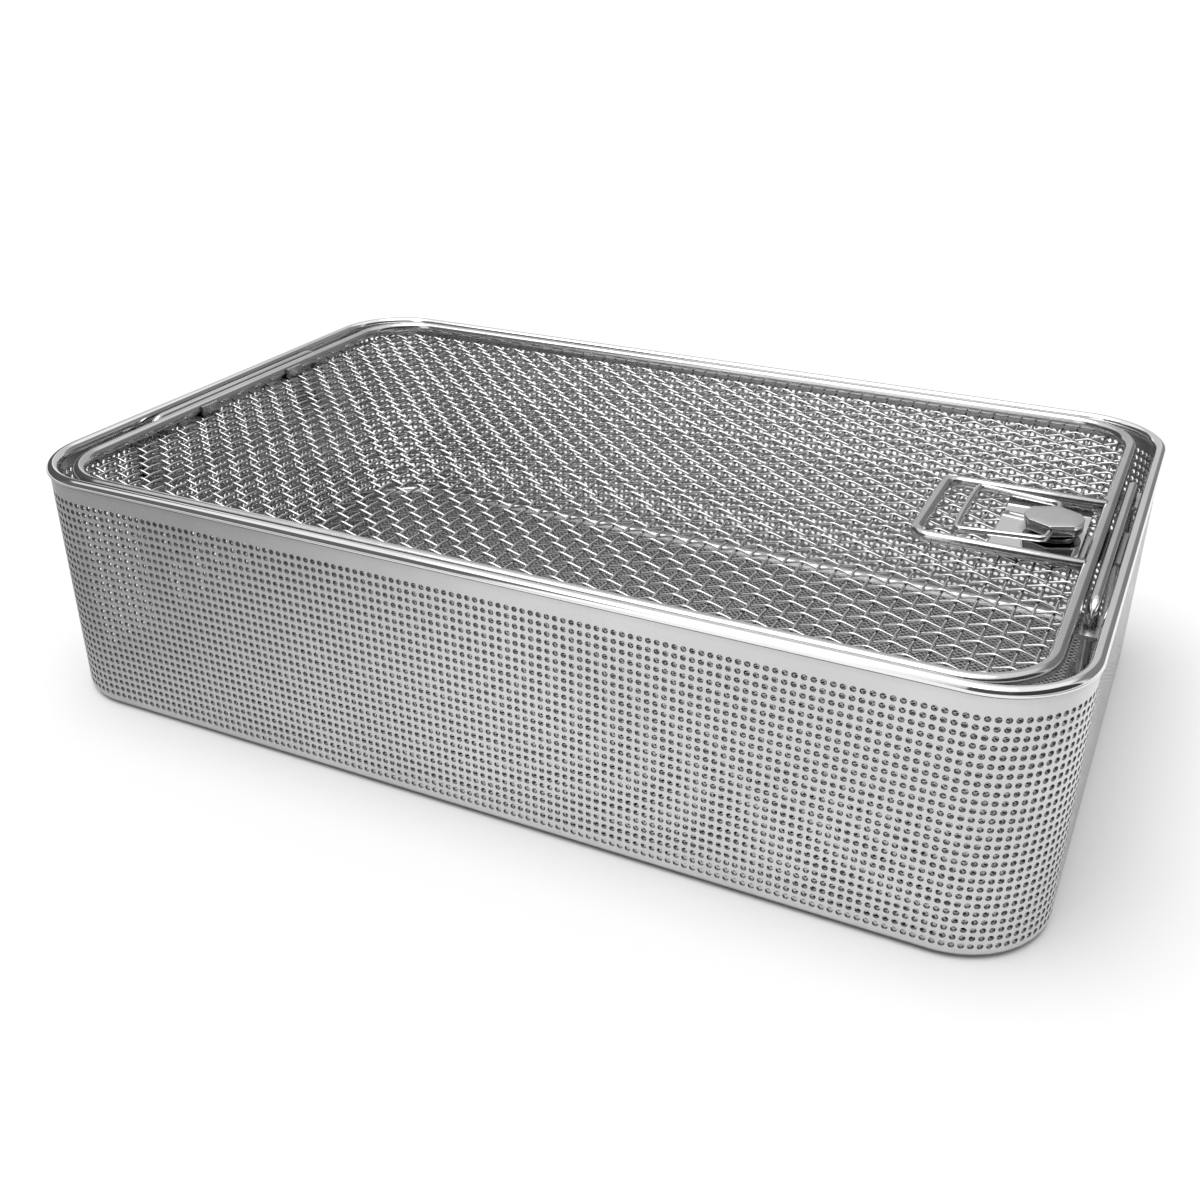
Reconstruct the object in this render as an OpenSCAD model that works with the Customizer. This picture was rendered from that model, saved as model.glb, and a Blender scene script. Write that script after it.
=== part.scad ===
// Perforated steel instrument cassette with a woven mesh lid.
// The tray is a perforated sheet box with a rolled rim and two lifting handles.
// The lid is a rod frame over mesh. It hooks in at the left and a sliding bolt holds it at the right.
// Length runs along X, depth along Y and height along Z. The origin is the centre of the floor's underside.
// A plain grid of openings stands for the sheet's fine holes, and a coarse one for the mesh.

/* [Tray] */
// Length over the rim, left to right
rim_length = 405; // [340:1:480]
// Depth over the rim, front to back
rim_depth = 255; // [200:1:300]
// Height from the underside of the floor to the top of the rim
tray_height = 100; // [85:1:140]
// Outside radius of the wall's corners, seen from above
corner_radius = 33; // [28:1:45]
// Thickness of the perforated sheet
sheet = 1; // [0.8:0.1:1.2]
// Outside radius of the bend between wall and floor
bend_radius = 4; // [3:0.5:6]
// Width of the rolled rim
bead_width = 4.5; // [4:0.1:4.8]
// Height of the rolled rim
bead_height = 4.8; // [4.8:0.1:6.5]
// How far the rolled rim stands out past the wall
bead_proud = 1; // [0.6:0.1:1.4]

/* [Handles] */
// Diameter of the handle rods
handle_rod = 4; // [3.5:0.1:5]
// Distance between the two legs of a handle
handle_span = 114; // [100:1:140]
// Bend radius of a handle on its centre line
handle_bend = 6; // [5:0.5:10]
// Height that a handle can be lifted
handle_travel = 35; // [25:1:40]
// Gap between a handle and the rim
handle_gap = 1.85; // [0.6:0.05:2.5]
// Height between the two lips of a handle guide
guide_height = 20; // [15:1:24]
// Width of a handle guide along the wall
guide_width = 16; // [12:1:20]

/* [Lid] */
// Diameter of the lid's frame rod
lid_rod = 5; // [4:0.1:6]
// Gap between the lid and the rim along the long sides
lid_gap = 0.7; // [0.5:0.1:1.5]
// Gap between the lid and the handles
lid_handle_gap = 0.9; // [0.6:0.05:2]
// Depth of the top of the frame rod below the top of the rim
lid_drop = 0.5; // [0.3:0.1:2]
// Diameter of the mesh wires
mesh_wire = 1; // [0.8:0.1:1.2]
// Spacing of the mesh wires drawn here
mesh_pitch = 18; // [18:1:30]
// Distance between the two hooks
hook_spacing = 60; // [40:1:66]
// Width of a hook
hook_width = 10; // [8:1:12]

/* [Latch] */
// Diameter of the knob
knob_diameter = 20.6; // [18:0.2:24]
// Height of the knob's head
knob_height = 4.1; // [3.8:0.1:6]
// Gap between the knob's head and the latch plate
knob_gap = 2.1; // [1.5:0.1:3]
// Sideways travel of the bolt
latch_travel = 3; // [2:0.1:5]
// Length of the latch plate
plate_length = 30; // [28:0.5:36]
// Thickness of the latch plate
plate_thickness = 1; // [0.8:0.1:1.5]
// Width of the bolt
bolt_width = 20; // [16:0.5:22]
// Thickness of the bolt
bolt_thickness = 2; // [1.5:0.1:2.5]
// Diameter of the spindle between knob and bolt
spindle_diameter = 6; // [5:0.1:7]
// Diameter of the friction washer
washer_diameter = 17; // [15:0.5:20]
// Thickness of the friction washer
washer_thickness = 0.7; // [0.5:0.1:1]
// Diameter of the bail wire
bail_wire = 2.4; // [2:0.1:2.8]
// Reach of the bail from its pivot
bail_length = 31; // [28:0.5:38]
// Diameter of the guard rod
guard_rod = 4.2; // [3.6:0.1:5]
// Height of the underside of the guard rod above the mesh
guard_lift = 1; // [0:0.1:2]

/* [Hidden] */
$fn = 64;

// Shared clearances
free_gap = 0.3;
running_gap = 0.05;
touch_gap = 0.02;
through = 1;

// Outline of the tray
wall_x = rim_length / 2 - bead_proud;
wall_y = rim_depth / 2 - bead_proud;
wall_inside_x = wall_x - sheet;
rim_inside_x = rim_length / 2 - bead_width;
rim_inside_y = rim_depth / 2 - bead_width;
wall_top = tray_height - bead_height;

// Plain grid of openings that stands for the sheet's fine holes
vent_pitch = 28;
vent_most = 12;
vent_rows = 4;
vent_rows_at_ends = 3;
vent_share = 0.56;
vent_margin = 1.5;
vent_low = bend_radius + vent_margin;
vent_step_z = (wall_top - 3 * vent_margin - vent_low) / vent_rows;

// Handles
handle_drop = 0.75;
handle_x = rim_inside_x - handle_gap - handle_rod / 2;
handle_z = tray_height - handle_drop - handle_rod / 2;

// Lid frame and mesh
lid_x = handle_x - handle_rod / 2 - lid_handle_gap - lid_rod / 2;
lid_y = rim_inside_y - lid_gap - lid_rod / 2;
lid_z = tray_height - lid_drop - lid_rod / 2;
lid_corner = corner_radius + bead_proud - bead_width - lid_gap - lid_rod / 2;
mesh_top = lid_z - lid_rod / 2;
long_wire_z = mesh_top - mesh_wire / 2;
cross_wire_z = long_wire_z - mesh_wire - touch_gap;
mesh_bottom = cross_wire_z - mesh_wire / 2;

// Lips on the end walls that carry the lid
lip_thickness = 1.2;
lip_clear = 0.5;
lip_x = lid_x + lip_clear;
lip_top = mesh_top - free_gap;
lip_bottom = lip_top - lip_thickness;
lip_flange = 12;
strike_width = bolt_width + 8;
catch_width = hook_width + 2;

// Handle guides
guide_sheet = 1.5;
guide_back = 1;
guide_margin = 2.5;
guide_top = mesh_top - 4;
guide_bottom = guide_top - guide_height;
stop_diameter = handle_rod + 4;
stop_height = 4;
stop_top = guide_bottom - handle_travel - free_gap;
leg_bottom = stop_top - stop_height - 1;

// Hooks of the lid
hook_sheet = 1.3;
hook_weld = 0.1;
hook_top = lip_bottom - 2 * free_gap;
hook_inner_x = lid_x - lid_rod / 2 + hook_weld;
hook_tip_x = wall_inside_x - lip_thickness - hook_sheet;

// Sliding latch
knob_x = lid_x - lid_rod / 2 - free_gap - latch_travel - knob_diameter / 2;
flat_angle = 26;
flat_distance = knob_diameter / 2 * cos(flat_angle);
plate_edge_gap = 2.5;
plate_right = lid_x - lid_rod / 2 - plate_edge_gap;
plate_left = plate_right - plate_length;
plate_top = mesh_top + plate_thickness;
slot_width = spindle_diameter + 2 * free_gap;
washer_z = plate_top + running_gap;
collar_z = washer_z + washer_thickness;
collar_diameter = spindle_diameter + 5;
head_z = plate_top + knob_gap;
head_bore = 1.5;
pivot_z = head_z + knob_height / 2;
bolt_top = mesh_bottom - 1.5 * free_gap;
bolt_bottom = bolt_top - bolt_thickness;
bolt_tip = lid_x;
ring_diameter = spindle_diameter + 3;
ring_thickness = 1;
spindle_bottom = bolt_bottom - 2 * ring_thickness;
keeper_width = 2.5;
keeper_sheet = 1;
keeper_left = knob_x - ring_diameter / 2 - 2 - keeper_width;
keeper_right = plate_right - keeper_width;
bolt_left = keeper_left - latch_travel - 2;
opening_left = keeper_left - 1.5;
opening_width = bolt_width + 5;

// Bail on the knob and the guard around it
bail_stand_off = 8.8;
bail_bend = 3;
bail_seat = 3.6;
bail_half = knob_diameter / 2 + bail_stand_off;
guard_bend = 6;
guard_side_gap = 5.7;
guard_end_gap = 9.4;
guard_y = bail_half + bail_wire / 2 + guard_side_gap + guard_rod / 2;
guard_x = knob_x - bail_length - bail_wire / 2 - guard_end_gap - guard_rod / 2;
guard_z = mesh_top + guard_lift + guard_rod / 2;
plate_width = 2 * (guard_y - guard_rod / 2 - free_gap);

steel = [0.74, 0.75, 0.77];
dark_steel = [0.6, 0.61, 0.63];
bright_steel = [0.85, 0.86, 0.88];

// Signed angle between two directions in the plane
function turn_between(a, b) = atan2(a.x * b.y - a.y * b.x, a * b);

// Signed turn of a path at one of its inner points
function turn_at(points, i) = turn_between(points[i] - points[i - 1], points[i + 1] - points[i]);

// Length that a bend takes off each straight run beside it
function bend_cut(points, bends, i) =
  i == 0 || i == len(points) - 1 ? 0 : bends[i] * tan(abs(turn_at(points, i)) / 2);

// Half length of a mesh wire at a given offset inside a rounded frame
function wire_reach(offset, along, across, radius) =
  let (over = abs(offset) - (across - radius))
  over <= 0 ? along : along - radius + sqrt(radius * radius - over * over);

// A rod bent in the XY plane through a list of points
module bent_rod(points, bends, diameter) {
  last = len(points) - 1;
  for (i = [0 : last - 1]) {
    run = points[i + 1] - points[i];
    along = run / norm(run);
    length = norm(run) - bend_cut(points, bends, i) - bend_cut(points, bends, i + 1);
    translate(points[i] + along * bend_cut(points, bends, i))
      rotate([0, 0, atan2(along.y, along.x)])
        rotate([0, 90, 0])
          cylinder(d = diameter, h = length);
  }
  for (i = [1 : last - 1]) {
    arrive = (points[i] - points[i - 1]) / norm(points[i] - points[i - 1]);
    angle = turn_at(points, i);
    start = points[i] - arrive * bend_cut(points, bends, i);
    out = [-arrive.y, arrive.x] * sign(angle);
    centre = start + out * bends[i];
    translate(centre)
      rotate([0, 0, atan2(-out.y, -out.x) + min(angle, 0)])
        rotate_extrude(angle = abs(angle))
          translate([bends[i], 0])
            circle(d = diameter);
  }
}

// A section swept once around a rounded rectangle. Its first axis points outward.
module around(half_x, half_y, radius) {
  for (side = [0 : 3]) {
    length = 2 * (side % 2 == 0 ? half_x : half_y) - 2 * radius;
    reach = side % 2 == 0 ? half_y : half_x;
    rotate([0, 0, 90 * side])
      translate([-length / 2, reach, 0])
        rotate([90, 0, 90])
          linear_extrude(length)
            children();
  }
  for (corner = [0 : 3]) {
    sign_x = corner == 0 || corner == 3 ? 1 : -1;
    sign_y = corner < 2 ? 1 : -1;
    translate([sign_x * (half_x - radius), sign_y * (half_y - radius), 0])
      rotate([0, 0, 90 * corner])
        rotate_extrude(angle = 90)
          translate([radius, 0])
            children();
  }
}

// A box given by its low and high corners
module block(low, high) {
  translate(low)
    cube(high - low);
}

// Cuts through two facing flat walls, each cut through both of them
module wall_vents(length, reach, rows) {
  columns = min(vent_most, floor(length / vent_pitch));
  step_x = length / columns;
  for (i = [0 : columns - 1], j = [0 : rows - 1])
    translate([(i + 0.5) * step_x - length / 2, 0, vent_low + (j + 0.5) * vent_step_z])
      cube([vent_share * step_x, 2 * (reach + through), vent_share * vent_step_z], center = true);
}

// Wall band with the bend that leads into the floor
module tray_wall() {
  color(steel)
    difference() {
      around(wall_x, wall_y, corner_radius) {
        translate([-sheet, bend_radius])
          square([sheet, wall_top - bend_radius]);
        intersection() {
          translate([-bend_radius, bend_radius])
            difference() {
              circle(r = bend_radius);
              circle(r = bend_radius - sheet);
            }
          translate([-bend_radius, 0])
            square(bend_radius);
        }
      }
      wall_vents(2 * (wall_x - corner_radius), wall_y, vent_rows);
      rotate([0, 0, 90])
        wall_vents(2 * (wall_y - corner_radius), wall_x, vent_rows_at_ends);
    }
}

// Flat floor inside the bend
module tray_floor() {
  radius = corner_radius - bend_radius;
  span_x = 2 * (wall_x - bend_radius);
  span_y = 2 * (wall_y - bend_radius);
  color(steel)
    linear_extrude(sheet) {
      square([span_x - 2 * radius, span_y], center = true);
      square([span_x, span_y - 2 * radius], center = true);
      for (x = [-1, 1], y = [-1, 1])
        translate([x * (span_x / 2 - radius), y * (span_y / 2 - radius)])
          circle(r = radius);
    }
}

// Rolled rim on top of the wall
module rim_bead() {
  color(bright_steel)
    around(wall_x, wall_y, corner_radius)
      translate([bead_proud - bead_width / 2, wall_top + bead_width / 2]) {
        circle(d = bead_width);
        translate([0, bead_height - bead_width])
          circle(d = bead_width);
        translate([-bead_width / 2, 0])
          square([bead_width, bead_height - bead_width]);
      }
}

// Two channel brackets on the right wall, bored for the handle's legs
module handle_guides() {
  inner_x = handle_x - handle_rod / 2 - guide_margin;
  for (y = [-1, 1] * handle_span / 2)
    difference() {
      translate([0, y - guide_width / 2, 0]) {
        block([wall_inside_x - guide_back, 0, guide_bottom], [wall_inside_x, guide_width, guide_top]);
        block([inner_x, 0, guide_bottom], [wall_inside_x, guide_width, guide_bottom + guide_sheet]);
        block([inner_x, 0, guide_top - guide_sheet], [wall_inside_x, guide_width, guide_top]);
      }
      translate([handle_x, y, guide_bottom - through])
        cylinder(d = handle_rod + 2 * running_gap, h = guide_height + 2 * through);
    }
}

// One handle at the right end: a grip and two legs from one bent rod
module handle() {
  half = handle_span / 2;
  translate([handle_x, 0, 0])
    rotate([90, 0, 90])
      bent_rod(
        [[-half, leg_bottom], [-half, handle_z], [half, handle_z], [half, leg_bottom]],
        [0, handle_bend, handle_bend, 0],
        handle_rod
      );
}

// Collars on the handle's legs that stop its lift
module handle_stops() {
  for (y = [-1, 1] * handle_span / 2)
    translate([handle_x, y, stop_top - stop_height])
      difference() {
        cylinder(d = stop_diameter, h = stop_height);
        translate([0, 0, -through])
          cylinder(d = handle_rod + 2 * touch_gap, h = stop_height + 2 * through);
      }
}

// Angle bracket on the right wall with a lip under the lid's rod
module wall_lip(width) {
  block([lip_x, -width / 2, lip_bottom], [wall_inside_x, width / 2, lip_top]);
  block(
    [wall_inside_x - lip_thickness, -width / 2, lip_bottom - lip_flange],
    [wall_inside_x, width / 2, lip_bottom]
  );
}

module handle_guides_right() {
  color(dark_steel)
    handle_guides();
}

module handle_guides_left() {
  color(dark_steel)
    mirror([1, 0, 0])
      handle_guides();
}

module handle_right() {
  color(bright_steel)
    handle();
}

module handle_left() {
  color(bright_steel)
    mirror([1, 0, 0])
      handle();
}

module handle_stops_right() {
  color(dark_steel)
    handle_stops();
}

module handle_stops_left() {
  color(dark_steel)
    mirror([1, 0, 0])
      handle_stops();
}

// Lips on the left wall that the lid's hooks go under
module hook_catches() {
  color(dark_steel)
    for (y = [-1, 1] * hook_spacing / 2)
      translate([0, y, 0])
        mirror([1, 0, 0])
          wall_lip(catch_width);
}

// Lip on the right wall that the bolt goes under
module latch_strike() {
  color(dark_steel)
    wall_lip(strike_width);
}

// Closed rod frame of the lid
module lid_frame() {
  color(bright_steel)
    around(lid_x, lid_y, lid_corner)
      translate([0, lid_z])
        circle(d = lid_rod);
}

// Hole in the mesh for the latch
module mesh_opening() {
  block(
    [opening_left, -opening_width / 2, mesh_bottom - through],
    [lid_x + through, opening_width / 2, mesh_top + through]
  );
}

// Mesh wires that run along the length
module lid_mesh_long_wires() {
  last = floor((lid_y - lid_rod) / mesh_pitch);
  color(steel)
    difference() {
      for (i = [-last : last]) {
        reach = wire_reach(i * mesh_pitch, lid_x, lid_y, lid_corner);
        translate([-reach, i * mesh_pitch, long_wire_z])
          rotate([0, 90, 0])
            cylinder(d = mesh_wire, h = 2 * reach, $fn = 16);
      }
      mesh_opening();
    }
}

// Mesh wires that run across, under the long ones
module lid_mesh_cross_wires() {
  last = floor((lid_x - lid_rod) / mesh_pitch - 0.5);
  color(steel)
    difference() {
      for (i = [-last - 1 : last]) {
        x = (i + 0.5) * mesh_pitch;
        reach = wire_reach(x, lid_y, lid_x, lid_corner);
        translate([x, reach, cross_wire_z])
          rotate([90, 0, 0])
            cylinder(d = mesh_wire, h = 2 * reach, $fn = 16);
      }
      mesh_opening();
    }
}

// Rod guard around the latch, with its ends welded into the lid's rod
module guard_frame() {
  weld_x = lid_x - lid_rod / 4;
  color(bright_steel)
    translate([0, 0, guard_z])
      bent_rod(
        [[weld_x, -guard_y], [guard_x, -guard_y], [guard_x, guard_y], [weld_x, guard_y]],
        [0, guard_bend, guard_bend, 0],
        guard_rod
      );
}

// Polished plate on the mesh, slotted for the spindle
module latch_plate() {
  color(bright_steel)
    difference() {
      block([plate_left, -plate_width / 2, mesh_top], [plate_right, plate_width / 2, plate_top]);
      block(
        [knob_x, -slot_width / 2, mesh_top - through],
        [knob_x + latch_travel, slot_width / 2, plate_top + through]
      );
      for (x = [knob_x, knob_x + latch_travel])
        translate([x, 0, mesh_top - through])
          cylinder(d = slot_width, h = plate_thickness + 2 * through);
    }
}

// Two straps under the plate that carry the bolt
module bolt_keepers() {
  inside = bolt_width / 2 + free_gap;
  outside = inside + keeper_sheet;
  strap_top = bolt_bottom - free_gap;
  color(dark_steel)
    for (x = [keeper_left, keeper_right])
      difference() {
        block([x, -outside, strap_top - keeper_sheet], [x + keeper_width, outside, mesh_top]);
        block([x - through, -inside, strap_top], [x + keeper_width + through, inside, mesh_top + through]);
      }
}

// Two bent tabs on the left rod that reach under the catches
module lid_hooks() {
  color(dark_steel)
    mirror([1, 0, 0])
      for (y = [-1, 1] * hook_spacing / 2)
        translate([0, y - hook_width / 2, 0]) {
          block(
            [hook_inner_x - hook_sheet, 0, hook_top - hook_sheet],
            [hook_inner_x, hook_width, lid_z + lid_rod / 4]
          );
          block([hook_inner_x, 0, hook_top - hook_sheet], [hook_tip_x, hook_width, hook_top]);
        }
}

// Flat bolt under the mesh
module latch_bolt() {
  color(steel)
    difference() {
      block([bolt_left, -bolt_width / 2, bolt_bottom], [bolt_tip, bolt_width / 2, bolt_top]);
      translate([knob_x, 0, bolt_bottom - through])
        cylinder(d = spindle_diameter + 2 * touch_gap, h = bolt_thickness + 2 * through);
    }
}

// Round spindle between knob and bolt
module latch_spindle() {
  color(steel)
    translate([knob_x, 0, spindle_bottom])
      cylinder(d = spindle_diameter, h = head_z + head_bore - spindle_bottom);
}

// Round knob with four flats, a collar below and two side holes for the bail
module latch_knob() {
  color(bright_steel)
    translate([knob_x, 0, 0])
      difference() {
        union() {
          translate([0, 0, head_z])
            cylinder(d = knob_diameter, h = knob_height);
          translate([0, 0, collar_z])
            cylinder(d = collar_diameter, h = head_z - collar_z);
        }
        for (side = [-90, 90], skew = [-flat_angle, flat_angle])
          rotate([0, 0, side + skew])
            translate([flat_distance, -knob_diameter / 2, head_z - knob_gap])
              cube([knob_diameter, knob_diameter, knob_height + 2 * knob_gap]);
        translate([0, 0, collar_z - through])
          cylinder(d = spindle_diameter + 2 * touch_gap, h = head_z + head_bore - collar_z + through);
        for (side = [-1, 1])
          translate([0, side * (knob_diameter / 2 - bail_seat - free_gap), pivot_z])
            rotate([-90 * side, 0, 0])
              cylinder(d = bail_wire + 2 * running_gap, h = knob_diameter / 2);
      }
}

// Thin washer between knob and plate
module friction_washer() {
  color(steel)
    translate([knob_x, 0, washer_z])
      difference() {
        cylinder(d = washer_diameter, h = washer_thickness);
        translate([0, 0, -through])
          cylinder(d = spindle_diameter + 2 * touch_gap, h = washer_thickness + 2 * through);
      }
}

// Ring on the spindle below the bolt
module retaining_ring() {
  color(dark_steel)
    translate([knob_x, 0, bolt_bottom - ring_thickness])
      difference() {
        cylinder(d = ring_diameter, h = ring_thickness);
        translate([0, 0, -through])
          cylinder(d = spindle_diameter + 2 * touch_gap, h = ring_thickness + 2 * through);
      }
}

// Wire bail that turns in the knob's side holes
module bail() {
  seat = knob_diameter / 2 - bail_seat;
  color(bright_steel)
    translate([knob_x, 0, pivot_z])
      bent_rod(
        [
          [0, -seat], [0, -bail_half], [-bail_length, -bail_half],
          [-bail_length, bail_half], [0, bail_half], [0, seat]
        ],
        [0, bail_bend, bail_bend, bail_bend, bail_bend, 0],
        bail_wire
      );
}

tray_wall();
tray_floor();
rim_bead();
handle_guides_left();
handle_guides_right();
hook_catches();
latch_strike();
handle_left();
handle_stops_left();
handle_right();
handle_stops_right();
lid_frame();
lid_mesh_long_wires();
lid_mesh_cross_wires();
guard_frame();
latch_plate();
bolt_keepers();
lid_hooks();
latch_bolt();
latch_spindle();
latch_knob();
friction_washer();
retaining_ring();
bail();
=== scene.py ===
"""Finished look of the perforated steel instrument cassette, in metres, in the part's own frame."""

import math

import bpy
import numpy as np
from mathutils import Matrix, Vector
from mathutils.geometry import tessellate_polygon


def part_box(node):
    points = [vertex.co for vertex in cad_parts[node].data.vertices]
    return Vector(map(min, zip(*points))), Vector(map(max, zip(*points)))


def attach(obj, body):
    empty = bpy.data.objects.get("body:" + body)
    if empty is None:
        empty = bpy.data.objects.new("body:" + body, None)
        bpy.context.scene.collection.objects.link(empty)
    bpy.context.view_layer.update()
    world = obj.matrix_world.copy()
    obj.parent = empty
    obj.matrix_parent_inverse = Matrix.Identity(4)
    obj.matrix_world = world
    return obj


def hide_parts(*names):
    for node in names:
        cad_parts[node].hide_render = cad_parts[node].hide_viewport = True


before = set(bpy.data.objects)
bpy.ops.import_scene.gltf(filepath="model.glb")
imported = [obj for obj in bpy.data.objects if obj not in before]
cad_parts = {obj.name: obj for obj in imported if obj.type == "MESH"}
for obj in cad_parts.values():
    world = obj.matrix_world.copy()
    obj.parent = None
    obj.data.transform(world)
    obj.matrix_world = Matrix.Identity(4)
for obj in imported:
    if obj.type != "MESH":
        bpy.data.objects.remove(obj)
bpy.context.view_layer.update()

MM = 0.001

# Sizes taken from the CAD nodes
wall_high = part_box("tray_wall")[1]
rim_low, rim_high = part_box("rim_bead")
lid_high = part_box("lid_frame")[1]
guard_low, guard_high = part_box("guard_frame")
handle_low, handle_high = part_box("handle_right")
knob_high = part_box("latch_knob")[1]
bail_low, bail_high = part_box("bail")
washer_low, washer_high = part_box("friction_washer")
keeper_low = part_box("bolt_keepers")[0]

# Sizes that the boxes can't give
CORNER = 33 * MM
SHEET = 1 * MM
BEND = 4 * MM
BEAD_WIDTH = 4.5 * MM
BEAD_PROUD = 1 * MM
BEAD_HEIGHT = 3.1 * MM
BELLY_HEIGHT = BEAD_HEIGHT / 4
SEAM = 0.35 * MM
SEAM_DEPTH = 0.6 * SHEET
LID_ROD = 5 * MM
GUARD_ROD = 4.2 * MM
HANDLE_ROD = 4 * MM
BAIL_WIRE = 2.4 * MM
HANDLE_BEND = 6 * MM
GUARD_BEND = 6 * MM
LID_CORNER = 26.3 * MM
ROD_BEVEL = 0.2 * MM

# Perforation of the sheet
WALL_COLUMNS = 418
WALL_ROWS = 27
WALL_SIDES = 12
FLOOR_PITCH = 3 * MM
FLOOR_SIDES = 8
FLOOR_MARGIN = 0.8 * MM
PLAIN_EDGE = 1 * MM
HOLE = 2.15 * MM
FIRST_ROW = 5.8 * MM
LAST_ROW = 89.4 * MM

# Woven mesh of the lid
WEAVE_PITCH = 6 * MM
WIRE = 1 * MM
WIRE_BEVEL = 0.15 * MM
LONG_CRIMP = 0.75 * MM
CROSS_CRIMP = 0.25 * MM
CRIMP_SHARPNESS = 0.94
OPENING_HALF = 12.5 * MM
OPENING_GAP = 1.5 * MM

# Knob and bail of the latch
KNOB_FLAT = math.radians(26)
KNOB_COLLAR = 11 * MM
KNOB_BORE = 6.4 * MM
KNOB_BEVEL = 0.35 * MM
KNOB_SIDES = 180
BAIL_IN_KNOB = 2.6 * MM
BAIL_STRAIGHT = 2.2 * MM

# Fineness of the meshes
CORNER_STEPS = 24
RIM_STEPS = 40
LID_STEPS = 32
BEND_STEPS = 8
BEAD_STEPS = 24
ROD_SIDES = 24
WIRE_SIDES = 8
BAIL_SIDES = 16
LONG_WIRE_SAMPLES = 8
CROSS_WIRE_SAMPLES = 4
WELD = 0.001 * MM

# Finish of the steel, and how far its painted crevice shade reaches
SMOOTH_ANGLE = math.radians(50)
CREVICE_SHADE_REACH = 3 * MM
GRAIN_DEPTH = 0.1 * MM
NOISE_LOW = 0.3
NOISE_HIGH = 0.7
GLOSS_CHANGE = 0.25
COOL_SHADE = 0.9

# Studio, in metres
FILL = 0.55
GROUND_REACH = 12
GROUND_DROP = 0.05 * MM
CARD_DROP = 0.02 * MM

# Camera: where it stands, its heading left of straight ahead, how far it looks down, and its roll
CAMERA_PLACE = (0.213685, -0.45769, 0.291733)
CAMERA_HEADING = math.radians(25.7666)
CAMERA_DOWN = math.radians(27.5389)
CAMERA_ROLL = math.radians(0.1351)
CAMERA_LENS = 39.49
CAMERA_SENSOR = 36

# Values worked out from these
half_x = wall_high.x
half_y = wall_high.y
flat_x = half_x - CORNER
flat_y = half_y - CORNER
lid_x = lid_high.x - LID_ROD / 2
lid_y = lid_high.y - LID_ROD / 2
lid_z = lid_high.z - LID_ROD / 2
mesh_top = lid_z - LID_ROD / 2
opening_left = keeper_low.x - OPENING_GAP
weave_z = mesh_top - LONG_CRIMP - WIRE / 2
perimeter = 4 * (flat_x + flat_y) + 2 * math.pi * CORNER
column_pitch = perimeter / WALL_COLUMNS
row_pitch = (LAST_ROW - FIRST_ROW) / (WALL_ROWS - 1)
knob_x = (washer_low.x + washer_high.x) / 2
knob_radius = knob_high.x - knob_x
pivot_z = (bail_low.z + bail_high.z) / 2
head_low = 2 * pivot_z - knob_high.z


# Node helpers for the steel materials
def new_material(name):
    material = bpy.data.materials.new(name)
    material.use_nodes = True
    return material, material.node_tree.nodes, material.node_tree.links


def noise(nodes, links, source, scale, detail, stretch=(1, 1, 1)):
    mapping = nodes.new("ShaderNodeMapping")
    mapping.inputs["Scale"].default_value = stretch
    texture = nodes.new("ShaderNodeTexNoise")
    texture.inputs["Scale"].default_value = scale
    texture.inputs["Detail"].default_value = detail
    links.new(source, mapping.inputs["Vector"])
    links.new(mapping.outputs["Vector"], texture.inputs["Vector"])
    return texture.outputs["Fac"]


def spread(nodes, links, source, low, high):
    """The middle of a noise, stretched over a range of values."""
    remap = nodes.new("ShaderNodeMapRange")
    remap.inputs["From Min"].default_value = NOISE_LOW
    remap.inputs["From Max"].default_value = NOISE_HIGH
    remap.inputs["To Min"].default_value = low
    remap.inputs["To Max"].default_value = high
    links.new(source, remap.inputs["Value"])
    return remap.outputs["Result"]


def steel(name, tone, roughness, cloud=30, grain=900, ripple=0.05, stretch=(1, 1, 1), shift=0.04):
    """Stainless steel: slow tone changes, painted shade darkening its crevices, a grain in its gloss
    and a slight ripple.
    """
    material, nodes, links = new_material(name)
    shader = nodes["Principled BSDF"]
    shader.inputs["Metallic"].default_value = 1
    coordinates = nodes.new("ShaderNodeTexCoord").outputs["Object"]
    clouds = noise(nodes, links, coordinates, cloud, 4)
    grains = noise(nodes, links, coordinates, grain, 3, stretch)
    ramp = nodes.new("ShaderNodeValToRGB")
    dark, light = ramp.color_ramp.elements
    dark.position = NOISE_LOW
    light.position = NOISE_HIGH
    dark.color = (tone - shift, tone - shift, tone - shift * COOL_SHADE, 1)
    light.color = (tone + shift, tone + shift, tone + shift, 1)
    links.new(clouds, ramp.inputs["Fac"])
    # Painted shade: ambient occlusion darkens the base colour in crevices, gaps and under crossing
    # parts
    shade = nodes.new("ShaderNodeAmbientOcclusion")
    shade.samples = 4
    shade.inputs["Distance"].default_value = CREVICE_SHADE_REACH
    links.new(ramp.outputs["Color"], shade.inputs["Color"])
    links.new(shade.outputs["Color"], shader.inputs["Base Color"])
    rough = spread(nodes, links, grains, roughness * (1 - GLOSS_CHANGE), roughness * (1 + GLOSS_CHANGE))
    links.new(rough, shader.inputs["Roughness"])
    bump = nodes.new("ShaderNodeBump")
    bump.inputs["Strength"].default_value = ripple
    bump.inputs["Distance"].default_value = GRAIN_DEPTH
    links.new(grains, bump.inputs["Height"])
    links.new(bump.outputs["Normal"], shader.inputs["Normal"])
    return material


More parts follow.
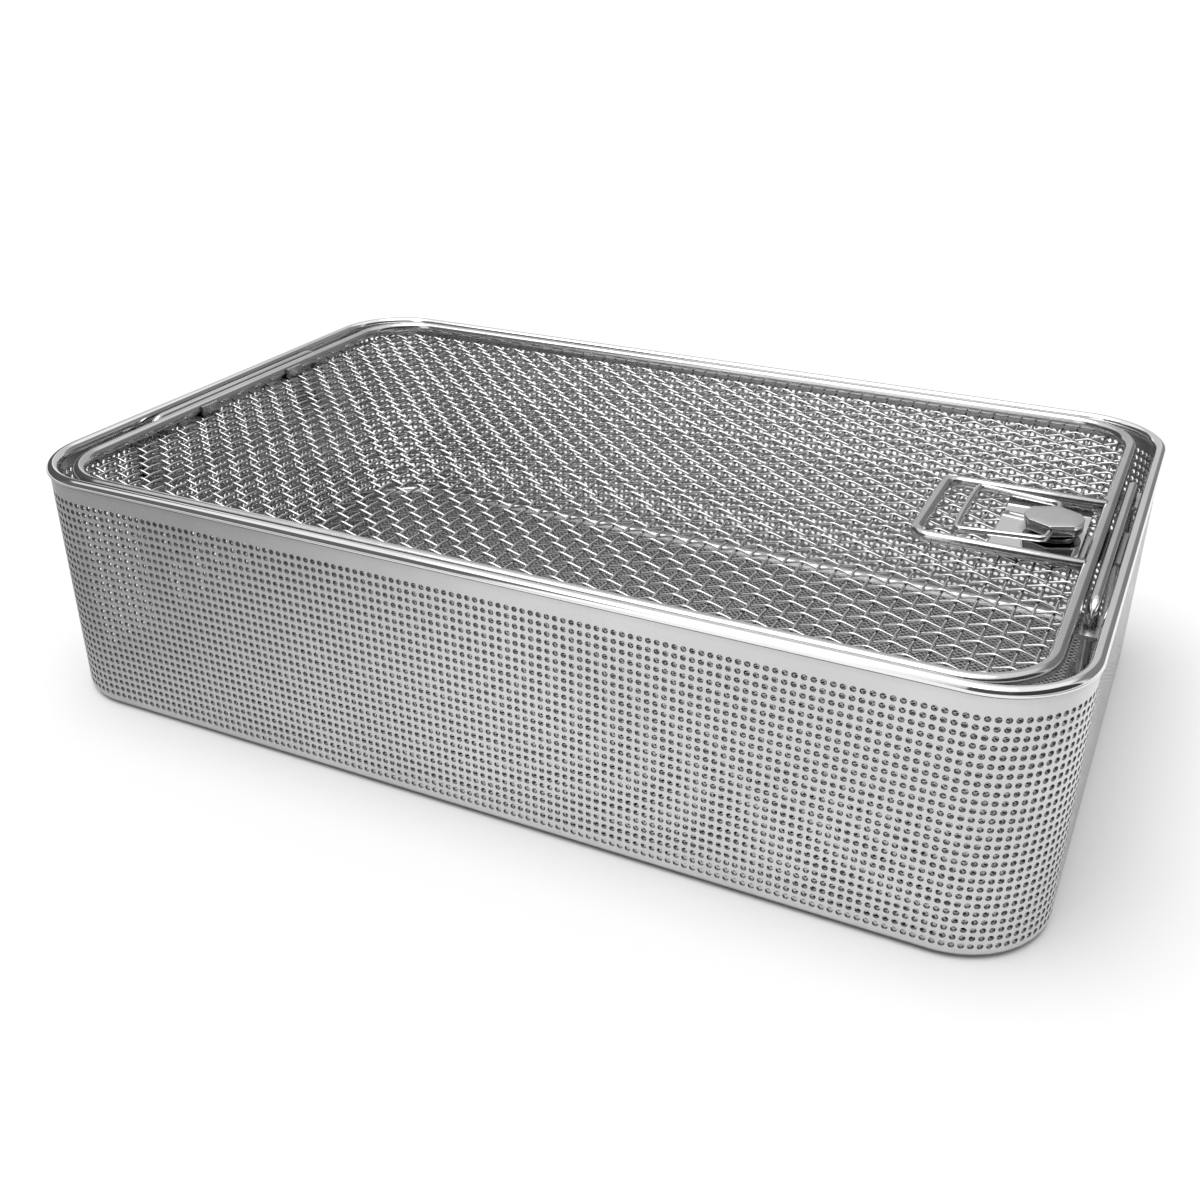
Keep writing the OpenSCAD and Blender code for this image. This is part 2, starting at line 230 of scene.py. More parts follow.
MATERIALS = {
    "perforated_sheet": steel("satin_sheet", 0.62, 0.2, cloud=18, grain=700, ripple=0.06),
    "rolled_rim": steel("polished_rim", 0.84, 0.07, cloud=25, grain=500, ripple=0.03),
    "rod_steel": steel("polished_rod", 0.62, 0.17, cloud=40, grain=600, ripple=0.04),
    "mesh_wire": steel("drawn_wire", 0.62, 0.15, cloud=60, grain=1500, ripple=0.05),
    "bracket_steel": steel("brushed_bracket", 0.58, 0.24, grain=900, ripple=0.1, stretch=(1, 1, 0.1)),
    "polished_plate": steel("mirror_plate", 0.84, 0.06, cloud=35, grain=400, ripple=0.03),
    "knob_steel": steel("blasted_knob", 0.6, 0.36, grain=2500, ripple=0.12),
    "latch_steel": steel("plain_latch", 0.58, 0.22, grain=900, ripple=0.06),
    "spring_wire": steel("spring_wire", 0.62, 0.1, cloud=50, grain=900, ripple=0.04),
}
# Painted shade: the back of the wall and its hole sides take a darker copy of the sheet steel, for the
# shade inside the tray
SHADED_INSIDE_SHEET = steel("shaded_dull_inside", 0.5, 0.34, cloud=18, grain=700, ripple=0.06)
# Painted light: the whole floor takes a lighter copy of the sheet steel, to brighten it inside the tray
LIT_FLOOR_SHEET = steel("lit_dull_floor", 0.72, 0.42, cloud=45, grain=700, ripple=0.06, shift=0.08)


def polish_sides(material, roughness):
    """Faces that don't look up take a smoother finish than the material's own."""
    nodes, links = material.node_tree.nodes, material.node_tree.links
    shader = nodes["Principled BSDF"]
    matte = shader.inputs["Roughness"].links[0].from_socket
    split = nodes.new("ShaderNodeSeparateXYZ")
    links.new(nodes.new("ShaderNodeTexCoord").outputs["Normal"], split.inputs[0])
    mix = nodes.new("ShaderNodeMix")
    mix.inputs["A"].default_value = roughness
    links.new(split.outputs["Z"], mix.inputs["Factor"])
    links.new(matte, mix.inputs["B"])
    links.new(mix.outputs["Result"], shader.inputs["Roughness"])


polish_sides(MATERIALS["knob_steel"], 0.12)


# Piece and mesh helpers
def make_piece(name, vertices, faces, body, slot, stands_for, marks=None, marked=None):
    """One mesh object, riding on its body. marks is 1 for the faces with the marked material."""
    mesh = bpy.data.meshes.new(name)
    mesh.from_pydata(np.asarray(vertices).tolist(), [], [list(map(int, f)) for f in faces])
    if marks is not None:
        mesh.polygons.foreach_set("material_index", marks)
    mesh.validate()
    mesh.shade_smooth()
    mesh.set_sharp_from_angle(angle=SMOOTH_ANGLE)
    piece = bpy.data.objects.new(name, mesh)
    bpy.context.scene.collection.objects.link(piece)
    mesh.materials.append(MATERIALS[slot])
    if marked is not None:
        mesh.materials.append(marked)
    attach(piece, body)
    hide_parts(*stands_for)


def grid_faces(rows, columns, wrap_rows=False, wrap_columns=False):
    """Quads over a grid of points stored row by row."""
    row = np.arange(rows if wrap_rows else rows - 1)
    column = np.arange(columns if wrap_columns else columns - 1)
    row, column = np.meshgrid(row, column, indexing="ij")
    start = row * columns
    end = (row + 1) % rows * columns
    across = (column + 1) % columns
    quads = np.stack([start + column, end + column, end + across, start + across], axis=-1)
    return quads.reshape(-1, 4)


def rounded_loop(reach_x, reach_y, radius, steps=CORNER_STEPS):
    """Points and outward normals round a rounded rectangle."""
    points, normals = [], []
    for corner, (sx, sy) in enumerate(((1, 1), (-1, 1), (-1, -1), (1, -1))):
        for k in range(steps + 1):
            angle = math.pi / 2 * (corner + k / steps)
            normal = (math.cos(angle), math.sin(angle))
            x = sx * (reach_x - radius) + radius * normal[0]
            y = sy * (reach_y - radius) + radius * normal[1]
            normals.append(normal)
            points.append((x, y))
    return np.array(points), np.array(normals)


def sweep_loop(loop, section):
    """A closed section of (outward, height) points carried round a flat loop."""
    points, normals = loop
    outward, height = np.array(section).T
    plan = points[:, None, :] + normals[:, None, :] * outward[None, :, None]
    heights = np.broadcast_to(height, plan.shape[:2])[..., None]
    vertices = np.concatenate([plan, heights], axis=-1).reshape(-1, 3)
    return vertices, grid_faces(len(points), len(section), True, True)


def circle_section(diameter, height, sides=28):
    radius = diameter / 2
    turns = np.arange(sides) * 2 * math.pi / sides
    return [(radius * math.cos(turn), height + radius * math.sin(turn)) for turn in turns]


def bent_path(corners, radius, steps=14):
    """Points along straight runs joined by round bends."""
    corners = [Vector(c) for c in corners]
    path = [corners[0]]
    for before, corner, after in zip(corners, corners[1:], corners[2:]):
        arrive = (corner - before).normalized()
        leave = (after - corner).normalized()
        angle = arrive.angle(leave)
        start = corner - arrive * radius * math.tan(angle / 2)
        inward = (leave - arrive * arrive.dot(leave)).normalized()
        centre = start + inward * radius
        for k in range(steps + 1):
            turn = angle * k / steps
            path.append(centre - inward * radius * math.cos(turn) + arrive * radius * math.sin(turn))
    path.append(corners[-1])
    return path


def smooth_path(points, steps=8):
    """A smooth curve through all the points."""
    points = [Vector(p) for p in points]
    padded = [2 * points[0] - points[1]] + points + [2 * points[-1] - points[-2]]
    path = []
    for i in range(1, len(padded) - 2):
        a, b, c, d = padded[i - 1 : i + 3]
        for k in range(steps):
            t = k / steps
            square = (2 * a - 5 * b + 4 * c - d) * t**2
            cube = (3 * b - a - 3 * c + d) * t**3
            path.append(0.5 * (2 * b + (c - a) * t + square + cube))
    path.append(points[-1])
    return path


def tube(path, diameter, sides, bevel=ROD_BEVEL):
    """A round rod along a path, with bevelled ends."""
    path = [Vector(p) for p in path]
    ahead = path[1:] + path[-1:]
    behind = path[:1] + path[:-1]
    tangents = [(a - b).normalized() for a, b in zip(ahead, behind)]
    side = tangents[0].orthogonal().normalized()
    rings = []
    for i, point in enumerate(path):
        side = (side - tangents[i] * side.dot(tangents[i])).normalized()
        rings.append((point, side.copy(), tangents[i].cross(side), diameter / 2))
    for end, sign in ((0, 1), (-1, -1)):
        point, u, v, radius = rings[end]
        rings[end] = (point + tangents[end] * sign * bevel, u, v, radius)
        rings.insert(0 if end == 0 else len(rings), (point, u, v, radius - bevel))
    vertices = []
    for point, u, v, radius in rings:
        for k in range(sides):
            turn = 2 * math.pi * k / sides
            vertices.append(point + u * radius * math.cos(turn) + v * radius * math.sin(turn))
    faces = [list(f) for f in grid_faces(len(rings), sides, False, True)]
    faces.append(list(range(sides)))
    faces.append(list(range(len(vertices) - 1, len(vertices) - 1 - sides, -1)))
    return vertices, faces


def join(parts):
    """Several (vertices, faces) pairs as one."""
    vertices, faces = [], []
    for part_vertices, part_faces in parts:
        offset = len(vertices)
        vertices.extend(tuple(v) for v in part_vertices)
        faces.extend([int(i) + offset for i in face] for face in part_faces)
    return vertices, faces


def mirror_x(part):
    vertices, faces = part
    return [(-v[0], v[1], v[2]) for v in vertices], [list(face)[::-1] for face in faces]


# Perforated sheet
def along_wall(distance):
    """Point and outward normal at each distance round the wall, from the middle of the front."""
    turn = CORNER * math.pi / 2
    lengths = [flat_x] + [turn, 2 * flat_y, turn, 2 * flat_x] * 2
    lengths[-1] = flat_x
    starts = np.concatenate([[0], np.cumsum(lengths)[:-1]])
    core_starts = np.array(
        [(0, -flat_y)]
        + [(flat_x, -flat_y)] * 2
        + [(flat_x, flat_y)] * 2
        + [(-flat_x, flat_y)] * 2
        + [(-flat_x, -flat_y)] * 2
    )
    index = np.clip(np.searchsorted(starts, distance, side="right") - 1, 0, len(lengths) - 1)
    past = distance - starts[index]
    bending = index % 2 == 1
    heading = (index // 2 + np.where(bending, past / turn, 0)) * math.pi / 2
    run = np.where(bending, 0, past)
    normal = np.stack([np.sin(heading), -np.cos(heading)], axis=-1)
    forward = np.stack([np.cos(heading), np.sin(heading)], axis=-1)
    point = core_starts[index] + forward * run[:, None] + normal * CORNER
    return point, normal


def perforated_cells(centres, pitch, sides):
    """Flat points of each cell: its border and its hole, as (cell, border or hole, side, axis)."""
    angle = (np.arange(sides) + 0.5) * 2 * math.pi / sides
    ray = np.stack([np.cos(angle), np.sin(angle)], axis=-1)
    border = ray / np.abs(ray).max(axis=1, keepdims=True) * np.array(pitch) / 2
    hole = ray * HOLE / 2
    return centres[:, None, None, :] + np.stack([border, hole])[None]


def perforated_faces(cells, sides):
    """Faces for points stored as (cell, layer, border or hole, side)."""
    side = np.arange(sides)
    across = (side + 1) % sides
    rings = [(side + sides * ring, across + sides * ring) for ring in range(4)]
    (edge, edge2), (hole, hole2), (back, back2), (back_hole, back_hole2) = rings
    cell = np.concatenate(
        [
            np.stack([edge, edge2, hole2, hole], axis=-1),
            np.stack([back2, back, back_hole, back_hole2], axis=-1),
            np.stack([hole, hole2, back_hole2, back_hole], axis=-1),
        ]
    )
    return (cell[None] + np.arange(cells)[:, None, None] * 4 * sides).reshape(-1, 4)


def inside_faces(cells, sides, others):
    """Marks the back and the hole faces of each cell, and none of the other faces."""
    marks = np.tile(np.repeat([0, 1], [sides, 2 * sides]), cells)
    return np.concatenate([marks, np.zeros(others, dtype=int)]).tolist()


def weld(vertices, faces):
    """Merges points that are in the same place."""
    keys = np.round(vertices / WELD).astype(np.int64)
    _, first, inverse = np.unique(keys, axis=0, return_index=True, return_inverse=True)
    return vertices[first], inverse.reshape(-1)[faces]


def wall_lattice():
    distance = (np.arange(WALL_COLUMNS) + 0.5) * column_pitch
    height = FIRST_ROW + np.arange(WALL_ROWS) * row_pitch
    centres = np.stack(np.meshgrid(distance, height, indexing="ij"), axis=-1).reshape(-1, 2)
    flat = perforated_cells(centres, (column_pitch, row_pitch), WALL_SIDES)
    shape = flat.shape[:-1]
    point, normal = along_wall(np.mod(flat[..., 0].reshape(-1), perimeter))
    rise = flat[..., 1].reshape(-1, 1)
    front = np.concatenate([point, rise], axis=1).reshape(shape + (3,))
    back = np.concatenate([point - normal * SHEET, rise], axis=1).reshape(shape + (3,))
    layers = np.stack([front, back], axis=1)
    return weld(layers.reshape(-1, 3), perforated_faces(len(centres), WALL_SIDES))


def wall_strip(section):
    """A plain strip of sheet round the tray, from a closed section of (outward, height) points."""
    corner_columns = math.radians(90) * CORNER / column_pitch
    return sweep_loop(rounded_loop(half_x, half_y, CORNER, 3 * round(corner_columns)), section)


def arc(centre, radii, start, end, steps):
    """Points of an arc, from one angle to another in degrees."""
    points = []
    for k in range(steps + 1):
        angle = math.radians(start + (end - start) * k / steps)
        points.append((centre[0] + radii[0] * math.cos(angle), centre[1] + radii[1] * math.sin(angle)))
    return points


def bend_section():
    """Section of the strip between the holes and the floor, round the bend."""
    top = FIRST_ROW - row_pitch / 2
    centre = (-BEND, BEND)
    outer = arc(centre, (BEND, BEND), -90, 0, BEND_STEPS)
    inner = arc(centre, (BEND - SHEET, BEND - SHEET), 0, -90, BEND_STEPS)
    return outer + [(0, top), (-SHEET, top)] + inner


def make_wall():
    top = LAST_ROW + row_pitch / 2
    band = [(0, top), (0, wall_high.z), (-SHEET, wall_high.z), (-SHEET, top)]
    parts = [wall_lattice(), wall_strip(band), wall_strip(bend_section())]
    vertices, faces = join(parts)
    cells = WALL_COLUMNS * WALL_ROWS
    # The back and the hole faces take the darker copy of the steel, painted shade
    inside = inside_faces(cells, WALL_SIDES, len(faces) - 3 * cells * WALL_SIDES)
    wall = ("tray", "perforated_sheet", ["tray_wall"])
    make_piece("perforated_wall", vertices, faces, *wall, inside, SHADED_INSIDE_SHEET)


def floor_cells(reach_x, reach_y, radius):
    """Middles of the square cells that fit in the rounded floor."""
    columns = int((2 * reach_x - 2 * PLAIN_EDGE) // FLOOR_PITCH)
    rows = int((2 * reach_y - 2 * PLAIN_EDGE) // FLOOR_PITCH)
    x = (np.arange(columns) - (columns - 1) / 2) * FLOOR_PITCH
    y = (np.arange(rows) - (rows - 1) / 2) * FLOOR_PITCH
    centres = np.stack(np.meshgrid(x, y, indexing="ij"), axis=-1).reshape(-1, 2)
    edge = np.abs(centres) + FLOOR_PITCH / 2
    over = np.maximum(edge - np.array([reach_x - radius, reach_y - radius]), 0)
    return centres[np.hypot(over[:, 0], over[:, 1]) < radius - FLOOR_MARGIN]


def floor_lattice(centres):
    flat = perforated_cells(centres, (FLOOR_PITCH, FLOOR_PITCH), FLOOR_SIDES)
    bottom = np.concatenate([flat, np.zeros(flat.shape[:-1] + (1,))], axis=-1)
    top = bottom + np.array([0, 0, SHEET])
    layers = np.stack([top, bottom], axis=1)
    return weld(layers.reshape(-1, 3), perforated_faces(len(centres), FLOOR_SIDES))


def floor_border(outline, steps):
    """The plain sheet between the rounded outline and the stepped edge of the cells, both sides."""
    points = outline + steps
    lower = [(p.x, p.y, 0) for p in points]
    upper = [(p.x, p.y, SHEET) for p in points]
    up_faces = []
    for a, b, c in tessellate_polygon([outline, steps]):
        facing = (points[b] - points[a]).cross(points[c] - points[a]).z
        up_faces.append((a, c, b) if facing < 0 else (a, b, c))
    down_faces = [(a, c, b) for a, b, c in up_faces]
    return [(lower, down_faces), (upper, up_faces)]


def stair_outline(centres):
    """Corner points of the outline round the block of square cells, anticlockwise."""
    columns = {}
    for x, y in np.round(centres / FLOOR_PITCH * 2).astype(int):
        columns.setdefault(x, []).append(abs(y))
    quarter = []
    previous = None
    for x in sorted(c for c in columns if c >= 0):
        top = max(columns[x]) + 1
        if previous is not None and top != previous:
            quarter += [(x - 1, previous), (x - 1, top)]
        previous = top
    quarter.append((max(columns) + 1, previous))
    back = quarter[::-1]
    loop = back + [(-x, y) for x, y in quarter]
    loop += [(-x, -y) for x, y in back] + [(x, -y) for x, y in quarter]
    return [Vector((x * FLOOR_PITCH / 2, y * FLOOR_PITCH / 2, 0)) for x, y in loop]


def make_floor():
    reach_x = half_x - BEND
    reach_y = half_y - BEND
    radius = CORNER - BEND
    centres = floor_cells(reach_x, reach_y, radius)
    outline = [Vector((p[0], p[1], 0)) for p in rounded_loop(reach_x, reach_y, radius)[0]]
    border = floor_border(outline, stair_outline(centres))
    vertices, faces = join([floor_lattice(centres)] + border)
    # Every floor face takes the lighter copy of the steel, painted light
    inside = np.ones(len(faces), dtype=int).tolist()
    floor = ("tray", "perforated_sheet", ["tray_floor"])
    make_piece("perforated_floor", vertices, faces, *floor, inside, LIT_FLOOR_SHEET)


make_wall()
make_floor()


# Rolled rim: a bead over a flat skirt, with a fine seam between them
def rim_section():
    half = BEAD_WIDTH / 2
    centre = BEAD_PROUD - half
    top = rim_high.z
    hem = top - BEAD_HEIGHT
    belly = hem + BELLY_HEIGHT
    skirt = [(0, rim_low.z), (0, hem - SEAM), (-SEAM_DEPTH, hem - SEAM), (-SEAM_DEPTH, hem)]
    under = arc((0, belly), (BEAD_PROUD, BELLY_HEIGHT), -90, 0, BEND_STEPS)
    over = arc((centre, belly), (half, top - belly), 0, 180, BEAD_STEPS)
    inner = arc((centre, rim_low.z + half), (half, half), 180, 270, BEND_STEPS)
    return skirt + under + over[1:] + inner


def make_rim():
    section = rim_section()
    vertices, faces = sweep_loop(rounded_loop(half_x, half_y, CORNER, RIM_STEPS), section)
    skirt = (np.arange(len(faces)) % len(section) == 0).astype(int)
    sheet = MATERIALS["perforated_sheet"]
    make_piece("rim_curl", vertices, faces, "tray", "rolled_rim", ["rim_bead"], skirt, sheet)


def make_lid_rod():
    section = circle_section(LID_ROD, lid_z)
    vertices, faces = sweep_loop(rounded_loop(lid_x, lid_y, LID_CORNER, LID_STEPS), section)
    make_piece("lid_rod", vertices, faces, "lid", "rod_steel", ["lid_frame"])


make_rim()
make_lid_rod()


# Woven mesh
def crimp(distance, height):
    """Height of a crimped wire: long slopes with rounded tops, one half wave to a pitch."""
    wave = CRIMP_SHARPNESS * math.cos(math.pi * distance / WEAVE_PITCH)
    return height * math.asin(wave) / math.asin(CRIMP_SHARPNESS)


def wire_reach(offset, along, across):
    """Half length of a wire at one offset from the middle, in the lid's rounded outline."""
    over = abs(offset) - (across - LID_CORNER)
    if over <= 0:
        return along
    return along - LID_CORNER + math.sqrt(LID_CORNER**2 - over**2)


def woven_wire(start, end, place, phase, height, samples):
    """A crimped wire from start to end. place(distance, z) gives a point."""
    count = max(2, round((end - start) / WEAVE_PITCH * samples))
    path = []
    for k in range(count + 1):
        distance = start + (end - start) * k / count
        path.append(place(distance, weave_z + crimp(distance - phase, height)))
    return tube(path, WIRE, WIRE_SIDES, WIRE_BEVEL)


def make_long_wires():
    parts = []
    last = int((lid_y - LID_ROD) // WEAVE_PITCH)
    for j in range(-last, last + 1):
        y = j * WEAVE_PITCH
        reach = wire_reach(y, lid_x, lid_y)
        end = opening_left if abs(y) < OPENING_HALF else reach
        phase = WEAVE_PITCH * (0.5 + j % 2)
        shape = (phase, LONG_CRIMP, LONG_WIRE_SAMPLES)
        parts.append(woven_wire(-reach, end, lambda along, z: (along, y, z), *shape))
    make_piece("woven_long_wires", *join(parts), "lid", "mesh_wire", ["lid_mesh_long_wires"])


def make_cross_wires():
    parts = []
    last = int((lid_x - LID_ROD) // WEAVE_PITCH)
    for i in range(-last - 1, last + 1):
        x = (i + 0.5) * WEAVE_PITCH
        reach = wire_reach(x, lid_y, lid_x)
        phase = WEAVE_PITCH * ((i + 1) % 2)
        shape = (phase, CROSS_CRIMP, CROSS_WIRE_SAMPLES)
        runs = [(-reach, reach)]
        if x > opening_left:
            runs = [(-reach, -OPENING_HALF), (OPENING_HALF, reach)]
        for start, end in runs:
            parts.append(woven_wire(start, end, lambda along, z: (x, along, z), *shape))
    make_piece("woven_cross_wires", *join(parts), "lid", "mesh_wire", ["lid_mesh_cross_wires"])


make_long_wires()
make_cross_wires()


# Guard rod round the latch, its ends butted into the lid rod
def make_guard():
    side = guard_high.y - GUARD_ROD / 2
    left = guard_low.x + GUARD_ROD / 2
    z = guard_high.z - GUARD_ROD / 2
    end = lid_x - LID_ROD / 4
    corners = [(end, -side, z), (left, -side, z), (left, side, z), (end, side, z)]
    rod = tube(bent_path(corners, GUARD_BEND), GUARD_ROD, ROD_SIDES)
    make_piece("guard_rod", *rod, "lid", "rod_steel", ["guard_frame"])


# Handles: one bent rod each
def make_handles():
    half = handle_high.y - HANDLE_ROD / 2
    x = handle_high.x - HANDLE_ROD / 2
    top = handle_high.z - HANDLE_ROD / 2
    foot = handle_low.z
    corners = [(x, -half, foot), (x, -half, top), (x, half, top), (x, half, foot)]
    rod = tube(bent_path(corners, HANDLE_BEND), HANDLE_ROD, ROD_SIDES)
    make_piece("handle_rod_right", *rod, "handle_right", "rod_steel", ["handle_right"])
    make_piece("handle_rod_left", *mirror_x(rod), "handle_left", "rod_steel", ["handle_left"])


make_guard()
make_handles()


# Knob: a round head with four flats on a collar
def knob_outline(turn, radius):
    """Distance from the axis to the head's side in one direction."""
    flat = radius * math.cos(KNOB_FLAT)
    reach = radius
    for side in (-math.pi / 2, math.pi / 2):
        for skew in (-KNOB_FLAT, KNOB_FLAT):
            facing = math.cos(turn - side - skew)
            # A flat cuts only the head's side that it faces
            if facing > 0.5:
                reach = min(reach, flat / facing)
    return reach


def make_knob():
    bore = KNOB_BORE / 2
    collar = KNOB_COLLAR / 2
    foot = washer_high.z
    top = knob_high.z
    soft = KNOB_BEVEL * 0.3
    turns = [2 * math.pi * k / KNOB_SIDES for k in range(KNOB_SIDES)]
    neck = [(bore, foot), (collar, foot), (collar, head_low)]
    rings = [([radius] * KNOB_SIDES, z) for radius, z in neck]
    head = [
        (KNOB_BEVEL, head_low),
        (soft, head_low + soft),
        (0, head_low + KNOB_BEVEL),
        (0, top - KNOB_BEVEL),
        (soft, top - soft),
        (KNOB_BEVEL, top),
        (knob_radius / 2, top),
    ]
    for inset, z in head:
        rings.append(([knob_outline(turn, knob_radius) - inset for turn in turns], z))
    vertices = []
    for radii, z in rings:
        for turn, radius in zip(turns, radii):
            vertices.append((knob_x + radius * math.cos(turn), radius * math.sin(turn), z))
    faces = [list(f)[::-1] for f in grid_faces(len(rings), KNOB_SIDES, False, True)]
    faces.append(list(range(len(vertices) - KNOB_SIDES, len(vertices))))
    make_piece("knob_head", vertices, faces, "latch", "knob_steel", ["latch_knob"])


def make_bail():
    """Spring wire: hooked into the knob's sides, spreading to a bowed end."""
    seat = knob_radius - BAIL_IN_KNOB
    bow = -(knob_x - bail_low.x - BAIL_WIRE / 2)
    # Half of its course as (x, y) from the knob's axis, from the hole to the middle of the bow
    half = [
        (0, seat),
        (0, seat + BAIL_STRAIGHT),
        (-0.3 * MM, 15.2 * MM),
        (-2.2 * MM, 17.2 * MM),
        (-7 * MM, 17.9 * MM),
        (bow * 0.55, 19.4 * MM),
        (bow + 4.2 * MM, 21.1 * MM),
        (bow + 1.6 * MM, 21.1 * MM),
        (bow + 0.55 * MM, 19.2 * MM),
        (bow + 0.1 * MM, 10 * MM),
        (bow, 0),
    ]
    points = [(knob_x + x, y, pivot_z) for x, y in half]
    points += [(knob_x + x, -y, pivot_z) for x, y in half[-2::-1]]
    wire = tube(smooth_path(points), BAIL_WIRE, BAIL_SIDES)
    make_piece("bail_wire", *wire, "bail", "spring_wire", ["bail"])


make_knob()
make_bail()


# Steel for the CAD nodes that stay
def dress(slot, *names):
    for name in names:
        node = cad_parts[name]
        node.data.materials.clear()
        node.data.materials.append(MATERIALS[slot])


dress("bracket_steel", "handle_guides_left", "handle_guides_right", "hook_catches", "latch_strike")
dress("bracket_steel", "lid_hooks", "bolt_keepers")
dress("rod_steel", "handle_stops_left", "handle_stops_right")
dress("polished_plate", "latch_plate")
dress("latch_steel", "latch_bolt", "latch_spindle", "retaining_ring", "friction_washer")


# Studio: white floor and world, one soft lamp, and grey cards that only reflections see
def camera_or_gloss(nodes, links):
    """1 for camera, glossy and transmission rays, else 0."""
    path = nodes.new("ShaderNodeLightPath")
    result = path.outputs["Is Camera Ray"]
    for ray in ("Is Glossy Ray", "Is Transmission Ray"):
        either = nodes.new("ShaderNodeMath")
        either.operation = "MAXIMUM"
        links.new(result, either.inputs[0])
        links.new(path.outputs[ray], either.inputs[1])
        result = either.outputs[0]
    return result


def white_background(nodes, strength):
    background = nodes.new("ShaderNodeBackground")
    background.inputs["Color"].default_value = (1, 1, 1, 1)
    background.inputs["Strength"].default_value = strength
    return background.outputs[0]


def make_world():
    world = bpy.data.worlds.new("studio")
    world.use_nodes = True
    nodes, links = world.node_tree.nodes, world.node_tree.links
    nodes.clear()
    mix = nodes.new("ShaderNodeMixShader")
    output = nodes.new("ShaderNodeOutputWorld")
    links.new(camera_or_gloss(nodes, links), mix.inputs["Fac"])
    links.new(white_background(nodes, FILL), mix.inputs[1])
    links.new(white_background(nodes, 1), mix.inputs[2])
    links.new(mix.outputs[0], output.inputs["Surface"])
    bpy.context.scene.world = world


def square_corners(reach):
    return [(-reach, -reach, 0), (reach, -reach, 0), (reach, reach, 0), (-reach, reach, 0)]


def make_ground():
    material, nodes, links = new_material("white_floor")
    shader = nodes["Principled BSDF"]
    shader.inputs["Base Color"].default_value = (0.92, 0.92, 0.92, 1)
    shader.inputs["Roughness"].default_value = 0.9
    shader.inputs["Specular IOR Level"].default_value = 0.1
    mesh = bpy.data.meshes.new("floor")
    mesh.from_pydata(square_corners(GROUND_REACH), [], [(0, 1, 2, 3)])
    mesh.materials.append(material)
    ground = bpy.data.objects.new("floor", mesh)
    ground.location.z = -GROUND_DROP
    bpy.context.scene.collection.objects.link(ground)


def make_lamp(name, source, strength, width):
    """A distant softbox in the direction of source, width degrees wide."""
    data = bpy.data.lights.new(name, "SUN")
    data.energy = strength
    data.angle = math.radians(width)
    lamp = bpy.data.objects.new(name, data)
    lamp.rotation_euler = Vector(source).to_track_quat("Z", "Y").to_euler()
    bpy.context.scene.collection.objects.link(lamp)


def card_fade(nodes, links, edge):
    """1 in the middle of a card, falling to 0 at its sides. edge is the share that fades."""
    split = nodes.new("ShaderNodeSeparateXYZ")
    links.new(nodes.new("ShaderNodeTexCoord").outputs["Object"], split.inputs[0])
    far = nodes.new("ShaderNodeMath")
    far.operation = "MAXIMUM"
    for axis in range(2):
        size = nodes.new("ShaderNodeMath")
        size.operation = "ABSOLUTE"
        links.new(split.outputs[axis], size.inputs[0])
        links.new(size.outputs[0], far.inputs[axis])
    inward = nodes.new("ShaderNodeMath")
    inward.operation = "SUBTRACT"
    inward.inputs[0].default_value = 1
    links.new(far.outputs[0], inward.inputs[1])
    remap = nodes.new("ShaderNodeMapRange")
    remap.interpolation_type = "SMOOTHSTEP"
    remap.inputs["From Max"].default_value = edge
    links.new(inward.outputs[0], remap.inputs["Value"])
    return remap.outputs["Result"]


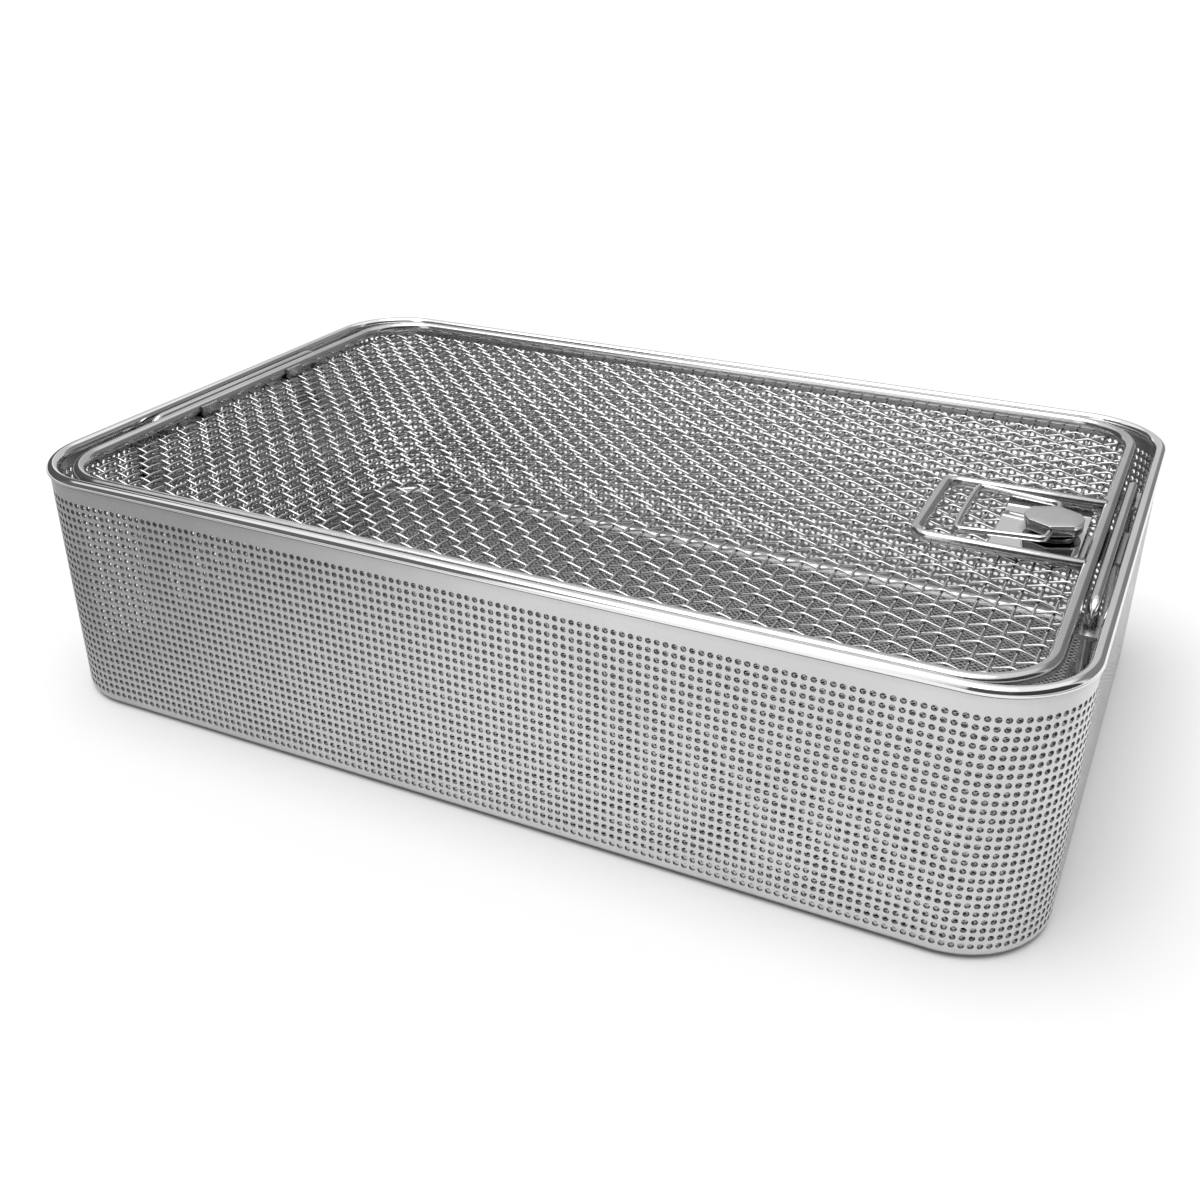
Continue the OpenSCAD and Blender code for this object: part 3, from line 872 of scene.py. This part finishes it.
def make_card(name, place, target, size, tone, edge=0.35):
    """A grey card with a soft edge that shows in reflections only."""
    material, nodes, links = new_material(name)
    nodes.clear()
    glow = nodes.new("ShaderNodeEmission")
    glow.inputs["Color"].default_value = (tone, tone, tone, 1)
    clear = nodes.new("ShaderNodeBsdfTransparent")
    mix = nodes.new("ShaderNodeMixShader")
    output = nodes.new("ShaderNodeOutputMaterial")
    links.new(card_fade(nodes, links, edge), mix.inputs["Fac"])
    links.new(clear.outputs[0], mix.inputs[1])
    links.new(glow.outputs[0], mix.inputs[2])
    links.new(mix.outputs[0], output.inputs["Surface"])
    mesh = bpy.data.meshes.new(name)
    mesh.from_pydata(square_corners(1), [], [(0, 1, 2, 3)])
    mesh.materials.append(material)
    card = bpy.data.objects.new(name, mesh)
    card.location = place
    card.rotation_euler = (Vector(target) - Vector(place)).to_track_quat("Z", "Y").to_euler()
    card.scale = (size[0] / 2, size[1] / 2, 1)
    card.visible_camera = False
    card.visible_diffuse = False
    card.visible_shadow = False
    card.visible_transmission = False
    bpy.context.scene.collection.objects.link(card)


def make_camera():
    data = bpy.data.cameras.new("camera")
    data.sensor_width = CAMERA_SENSOR
    data.lens = CAMERA_LENS
    data.clip_start = 0.01
    camera = bpy.data.objects.new("camera", data)
    heading = Matrix.Rotation(CAMERA_HEADING, 4, "Z")
    tilt = Matrix.Rotation(math.pi / 2 - CAMERA_DOWN, 4, "X")
    roll = Matrix.Rotation(CAMERA_ROLL, 4, "Z")
    camera.matrix_world = Matrix.Translation(CAMERA_PLACE) @ heading @ tilt @ roll
    bpy.context.scene.collection.objects.link(camera)
    bpy.context.scene.camera = camera


make_world()
make_ground()
make_camera()
make_lamp("softbox", (-0.1, -0.15, 1), 1.95, 50)

# Cards: place, the point they face, size, tone, and the share that fades at the edge
make_card("front_panel", (-0.85, -2.8, 2.2), (-0.1, 0, 2.2), (1.2, 6), 1.2)
make_card("front_left_flag", (-2.3, -2.3, 1.4), (0, 0, 1.4), (2.8, 4.6), 0.14, 0.2)
make_card("front_right_flag", (0.95, -2.9, 1.4), (0, 0, 1.4), (2.6, 4.6), 0.08, 0.2)
make_card("right_flag", (2.9, -1.0, 1.4), (0, 0, 1.4), (4.8, 4.8), 0.05, 0.2)
make_card("far_right_flag", (1.9, 2.5, 1.2), (0, 0, 1.2), (4.8, 4.8), 0.24, 0.45)
make_card("back_card", (-0.9, 3, 1.3), (0, 0, 0.1), (3.6, 3.4), 0.62)
make_card("left_flag", (-2.9, 0.4, 0.9), (0, 0, 0.9), (4.4, 4.2), 0.1, 0.25)
make_card("floor_card", (-0.5, -0.3, -CARD_DROP), (-0.5, -0.3, 1), (1, 1), 0.45, 0.6)
make_card("side_card", (0.7, -0.2, -CARD_DROP), (0.7, -0.2, 1), (0.8, 0.8), 0.4, 0.6)

bpy.context.scene.view_settings.view_transform = "Standard"
